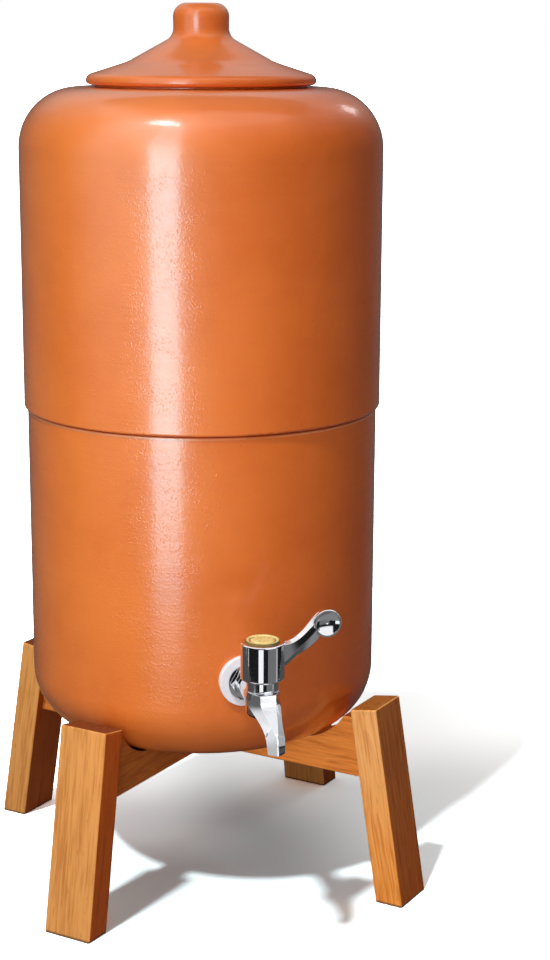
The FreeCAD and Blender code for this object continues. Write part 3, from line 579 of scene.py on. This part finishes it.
def tube(name, radius, low, high, start=0.0, sweep=math.tau, steps=96):
    """Upright strip of wall round the pots' axis."""
    vertices = []
    faces = []
    for i in range(steps + 1):
        angle = start + sweep * i / steps
        x, y = radius * math.sin(angle), -radius * math.cos(angle)
        vertices += [(x, y, low), (x, y, high)]
        if i < steps:
            faces.append((2 * i, 2 * i + 1, 2 * i + 3, 2 * i + 2))
    mesh = bpy.data.meshes.new(name)
    mesh.from_pydata(vertices, [], faces)
    return mesh


def disc(name, radius, z, steps=64):
    turns = [math.tau * i / steps for i in range(steps)]
    return sheet_mesh(name, [(radius * math.sin(turn), radius * math.cos(turn), z) for turn in turns])


def round_axis(n, x, y):
    """Angle round the pots' axis: 0 the way the tap points, growing towards +X."""
    return n.math("ARCTAN2", x, n.times(y, -1.0))


def highest_band(n, angle, bands, level):
    """The highest of a level and some upright bands, each from one angle to another
    with soft edges, and with a level for its height."""
    for start, end, soft, strength, height in bands:
        band = n.times(n.between(angle, start, end, soft), strength, height)
        level = n.math("MAXIMUM", band, level)
    return level


def wall_level(n, x, y, z):
    """Dark cloth, a little lighter behind and brightening towards its top."""
    turned = n.math("ABSOLUTE", round_axis(n, x, y))
    back = n.ramp(turned, 1.75, 2.3, 0.012, 0.10)
    top = n.times(n.ramp(z, 0.60, 0.85, 0.0, 0.22), n.ramp(turned, 2.3, 2.7))
    return n.plus(back, top, n.ramp(z, 0.60, WALL_TOP_Z, 0.0, 0.45))


def tap_wall_level(n, x, y, z):
    """White and grey panels that give the plated tap its bands and facets."""
    low = n.ramp(z, 0.100, 0.125, 1.0, 0.0)
    bands = (
        (-0.443, -0.136, 0.012, 1.05, low),
        (0.180, 0.790, 0.015, 0.16, low),
        (0.800, 0.930, 0.020, 0.42, low),
        (1.84, 2.13, 0.03, 0.80, low),
        (-1.345, -1.300, 0.01, 0.75, low),
        (-2.16, -2.06, 0.02, 0.70, low),
        (0.02, 0.74, 0.05, 1.0, n.ramp(z, 0.16, 0.21)),
        (-2.05, -1.48, 0.08, 1.0, n.ramp(z, 0.12, 0.45, 0.12, 1.0)),
        (1.55, 2.30, 0.08, 0.40, n.ramp(z, 0.28, 0.40, 1.0, 0.4)),
    )
    return highest_band(n, round_axis(n, x, y), bands, n.ramp(z, 0.48, 0.58))


def spout_level(n, x, y, z):
    """Pale cards that light the spout's beak, its front and its right flank."""
    bands = (
        (-1.42, -0.62, 0.06, 1.0, n.ramp(z, 0.02, 0.45, 0.55, 0.85)),
        (0.00, 0.36, 0.05, 1.0, n.ramp(z, 0.03, 0.06)),
        (1.15, 1.50, 0.05, 1.0, n.ramp(z, 0.02, 0.06, 0.0, 0.42)),
    )
    return highest_band(n, round_axis(n, x, y), bands, 0.0)


def add_walls():
    wall = tube("studio_wall", WALL_RADIUS, 0.001, WALL_TOP_Z)
    add_reflector(wall, glow_material("wall_cloth", wall_level))
    wall = tube("tap_wall_card", TAP_WALL_RADIUS, 0.001, 1.2)
    add_reflector(wall, glow_material("tap_wall_glow", tap_wall_level, clear=True), PLATED)
    wall = tube("spout_card", SPOUT_RADIUS, 0.001, 0.50, -1.6, 3.9, 48)
    add_reflector(wall, glow_material("spout_glow", spout_level, clear=True), ("tap_body",))


def floor_card_level(n, x, y, z):
    """Dark cloth that gloss sees in place of the floor, with painted shade: darkest near the object, a
    little lighter away from it.
    """
    return n.ramp(n.length(x, y), 0.08, 0.30, 0.02, 0.06)


def tap_floor_level(n, x, y, z):
    """Painted reflection of the floor for the tap: pale to its left, where the floor is lit, and painted
    shade to its right and under the pot.
    """
    side = n.times(n.between(x, -0.45, -0.20, 0.06), n.between(y, -0.55, -0.25, 0.05), 0.75)
    front = n.ramp(y, -0.33, -0.27, 0.17, 0.02)
    return n.times(n.plus(side, front), n.ramp(n.length(x, y), 0.10, 0.20))


def add_floor_cards():
    card = disc("floor_card", WALL_RADIUS, 0.001)
    add_reflector(card, glow_material("card_grey", floor_card_level))
    card = disc("tap_floor_card", 0.6, 0.0015)
    add_reflector(card, glow_material("tap_floor_glow", tap_floor_level, clear=True), PLATED)


def band_level(n, x, y, z):
    """The tall softbox that the burnished clay mirrors, bright in the middle and
    fading upwards and downwards, beside a broad faint sheet for the clay's bloom."""
    angle = round_axis(n, x, y)
    core = n.times(n.between(angle, -0.700, -0.466, 0.05), 6.7)
    halo = n.times(n.between(angle, -0.770, -0.396, 0.10), 0.7)
    foot = n.ramp(z, 0.015, 0.22, 0.12, 1.0)
    head = n.ramp(z, 0.49, 0.80, 1.0, 0.35, smooth=False)
    sheet = n.times(n.between(angle, -1.15, -0.80, 0.55), n.ramp(z, 0.02, 0.60, 0.0, 1.15))
    return n.plus(n.times(n.plus(core, halo), foot, head), sheet)


def add_band_card():
    card = tube("band_card", BAND_RADIUS, 0.002, 1.3, -1.80, 1.60, 40)
    add_reflector(card, glow_material("band_glow", band_level, (0.45, 0.94, 1.12), clear=True), CLAY)


def rim_level(n, x, y, z):
    """Small lamp behind on the right, for the glint on that shoulder."""
    lamp_width = n.between(round_axis(n, x, y), 2.05, 2.17, 0.06)
    return n.times(lamp_width, n.between(z, 0.80, 0.86, 0.05), 2.6)


def add_rim_card():
    card = tube("rim_card", BAND_RADIUS, 0.65, 1.0, 1.9, 0.45, 12)
    add_reflector(card, glow_material("rim_glow", rim_level, clear=True), ("upper_pot",))


def square_along(n, place, centre, axis):
    """Square of how far a place lies from a centre along an axis."""
    parts = [n.times(n.math("SUBTRACT", v, c), a) for v, c, a in zip(place, centre, axis)]
    total = n.plus(*parts)
    return n.times(total, total)


def add_head_card():
    """High softbox that leaves the small oval highlight on the shoulder."""
    away = direction(-44.0, 44.5)
    centre = away * 1.1 + Vector((0, 0, 0.5))
    half_w, half_h = 0.22, 0.38
    side = Vector((0, 0, 1)).cross(away).normalized()
    up = away.cross(side)
    signs = ((-1, -1), (1, -1), (1, 1), (-1, 1))
    card = sheet_mesh("head_card", [centre + side * a * half_w + up * b * half_h for a, b in signs])

    def head_level(n, *place):
        across = square_along(n, place, centre, side / half_w)
        return n.ramp(n.plus(across, square_along(n, place, centre, up / half_h)), 0.15, 1.0, 19.0, 0.0)

    glow = glow_material("head_glow", head_level, (0.94, 0.96, 1.10), clear=True)
    add_reflector(card, glow, ("lower_pot", "upper_pot"))


def roof_level(n, x, y, z):
    """Pale cloth on the left, dark from a quarter of a metre in."""
    return n.ramp(x, ROOF_LEFT, -0.30, 0.9, 0.20)


def tap_roof_level(n, x, y, z):
    """Dark on the left, pale from a quarter of a metre in."""
    return n.ramp(x, ROOF_LEFT, -0.30, 0.1, 0.8)


def add_roof_cards():
    """Cloth high above and behind the pot, mirrored by lid and shoulder, and a
    card below its front edge for the tap."""
    card = rectangle("roof_card", ROOF_LEFT, ROOF_RIGHT, ROOF_FRONT, 1.3, ROOF_Z)
    add_reflector(card, glow_material("roof_cloth", roof_level))
    card = rectangle("tap_roof_card", ROOF_LEFT, ROOF_RIGHT, ROOF_FRONT, 0.24, ROOF_Z - 0.01)
    add_reflector(card, glow_material("tap_roof_glow", tap_roof_level, clear=True), PLATED)


# ------------------------------------------------------------------- lamps
SUN_FROM = direction(-48, 60.0)
SUN_ENERGY = 1.95
SUN_WIDTH = math.radians(4.0)
SKY_LEVEL = 0.225


def add_lamp(name, kind, place, target, names=(), **settings):
    """A lamp aimed at a target. One kept to named nodes isn't seen by gloss."""
    data = bpy.data.lights.new(name, kind)
    for key, value in settings.items():
        setattr(data, key, value)
    lamp = bpy.data.objects.new(name, data)
    scene.collection.objects.link(lamp)
    lamp.visible_camera = False
    lamp.location = place
    lamp.rotation_mode = "QUATERNION"
    lamp.rotation_quaternion = (Vector(target) - Vector(place)).to_track_quat("-Z", "Y")
    if names:
        lamp.visible_glossy = False
        lights_only(lamp, names)
    return lamp


def add_sun(name, names):
    return add_lamp(name, "SUN", SUN_FROM * 3, (0, 0, 0), names, energy=SUN_ENERGY, angle=SUN_WIDTH)


def add_suns():
    """The key light. In the photograph neither pot nor tap shades OPEN_WOOD, so it
    has a sun of its own, which only the stand blocks."""
    key = add_sun("key_lamp", [node for node in nodes if node not in OPEN_WOOD])
    key.light_linking.receiver_collection.objects.link(bpy.data.objects["studio_floor"])
    stand_key = add_sun("stand_key_lamp", [node for node in nodes if node in OPEN_WOOD])
    stand_key.light_linking.blocker_collection = node_group("stand_key_blockers", STAND)


def add_softbox(name, place, target, width, height, energy, names=()):
    add_lamp(name, "AREA", place, target, names, shape="RECTANGLE", size=width, size_y=height, energy=energy)


def add_softboxes():
    middle = Vector((0, 0, 0.42))
    add_softbox("strip_softbox", direction(-27, 0) * 0.60 + middle, middle, 0.23, 0.58, 1.65, nodes)
    middle = Vector((0.05, -0.05, 0.5))
    add_softbox("back_softbox", direction(131, 27) * 1.4 + middle, middle, 0.4, 0.28, 1.0)
    place = direction(112, 0) * 0.75 + Vector((0, 0, 0.38))
    add_softbox("fill_softbox", place, (0, 0, 0.36), 0.5, 0.7, 0.85, CLAY)


def add_world():
    """Soft light from all round, and white where the camera, gloss or glass looks."""
    scene.world = bpy.data.worlds.new("studio")
    n = Nodes(scene.world)
    glow = n.add("Background")
    n.put_colour(WHITE, glow.inputs["Color"])
    n.put(n.ramp(background_level(n), 0.0, 1.0, SKY_LEVEL, 1.0, smooth=False), glow.inputs["Strength"])
    n.output(glow.outputs[0], "OutputWorld")


add_floor()
add_walls()
add_floor_cards()
add_band_card()
add_rim_card()
add_head_card()
add_roof_cards()
add_suns()
add_softboxes()
add_world()
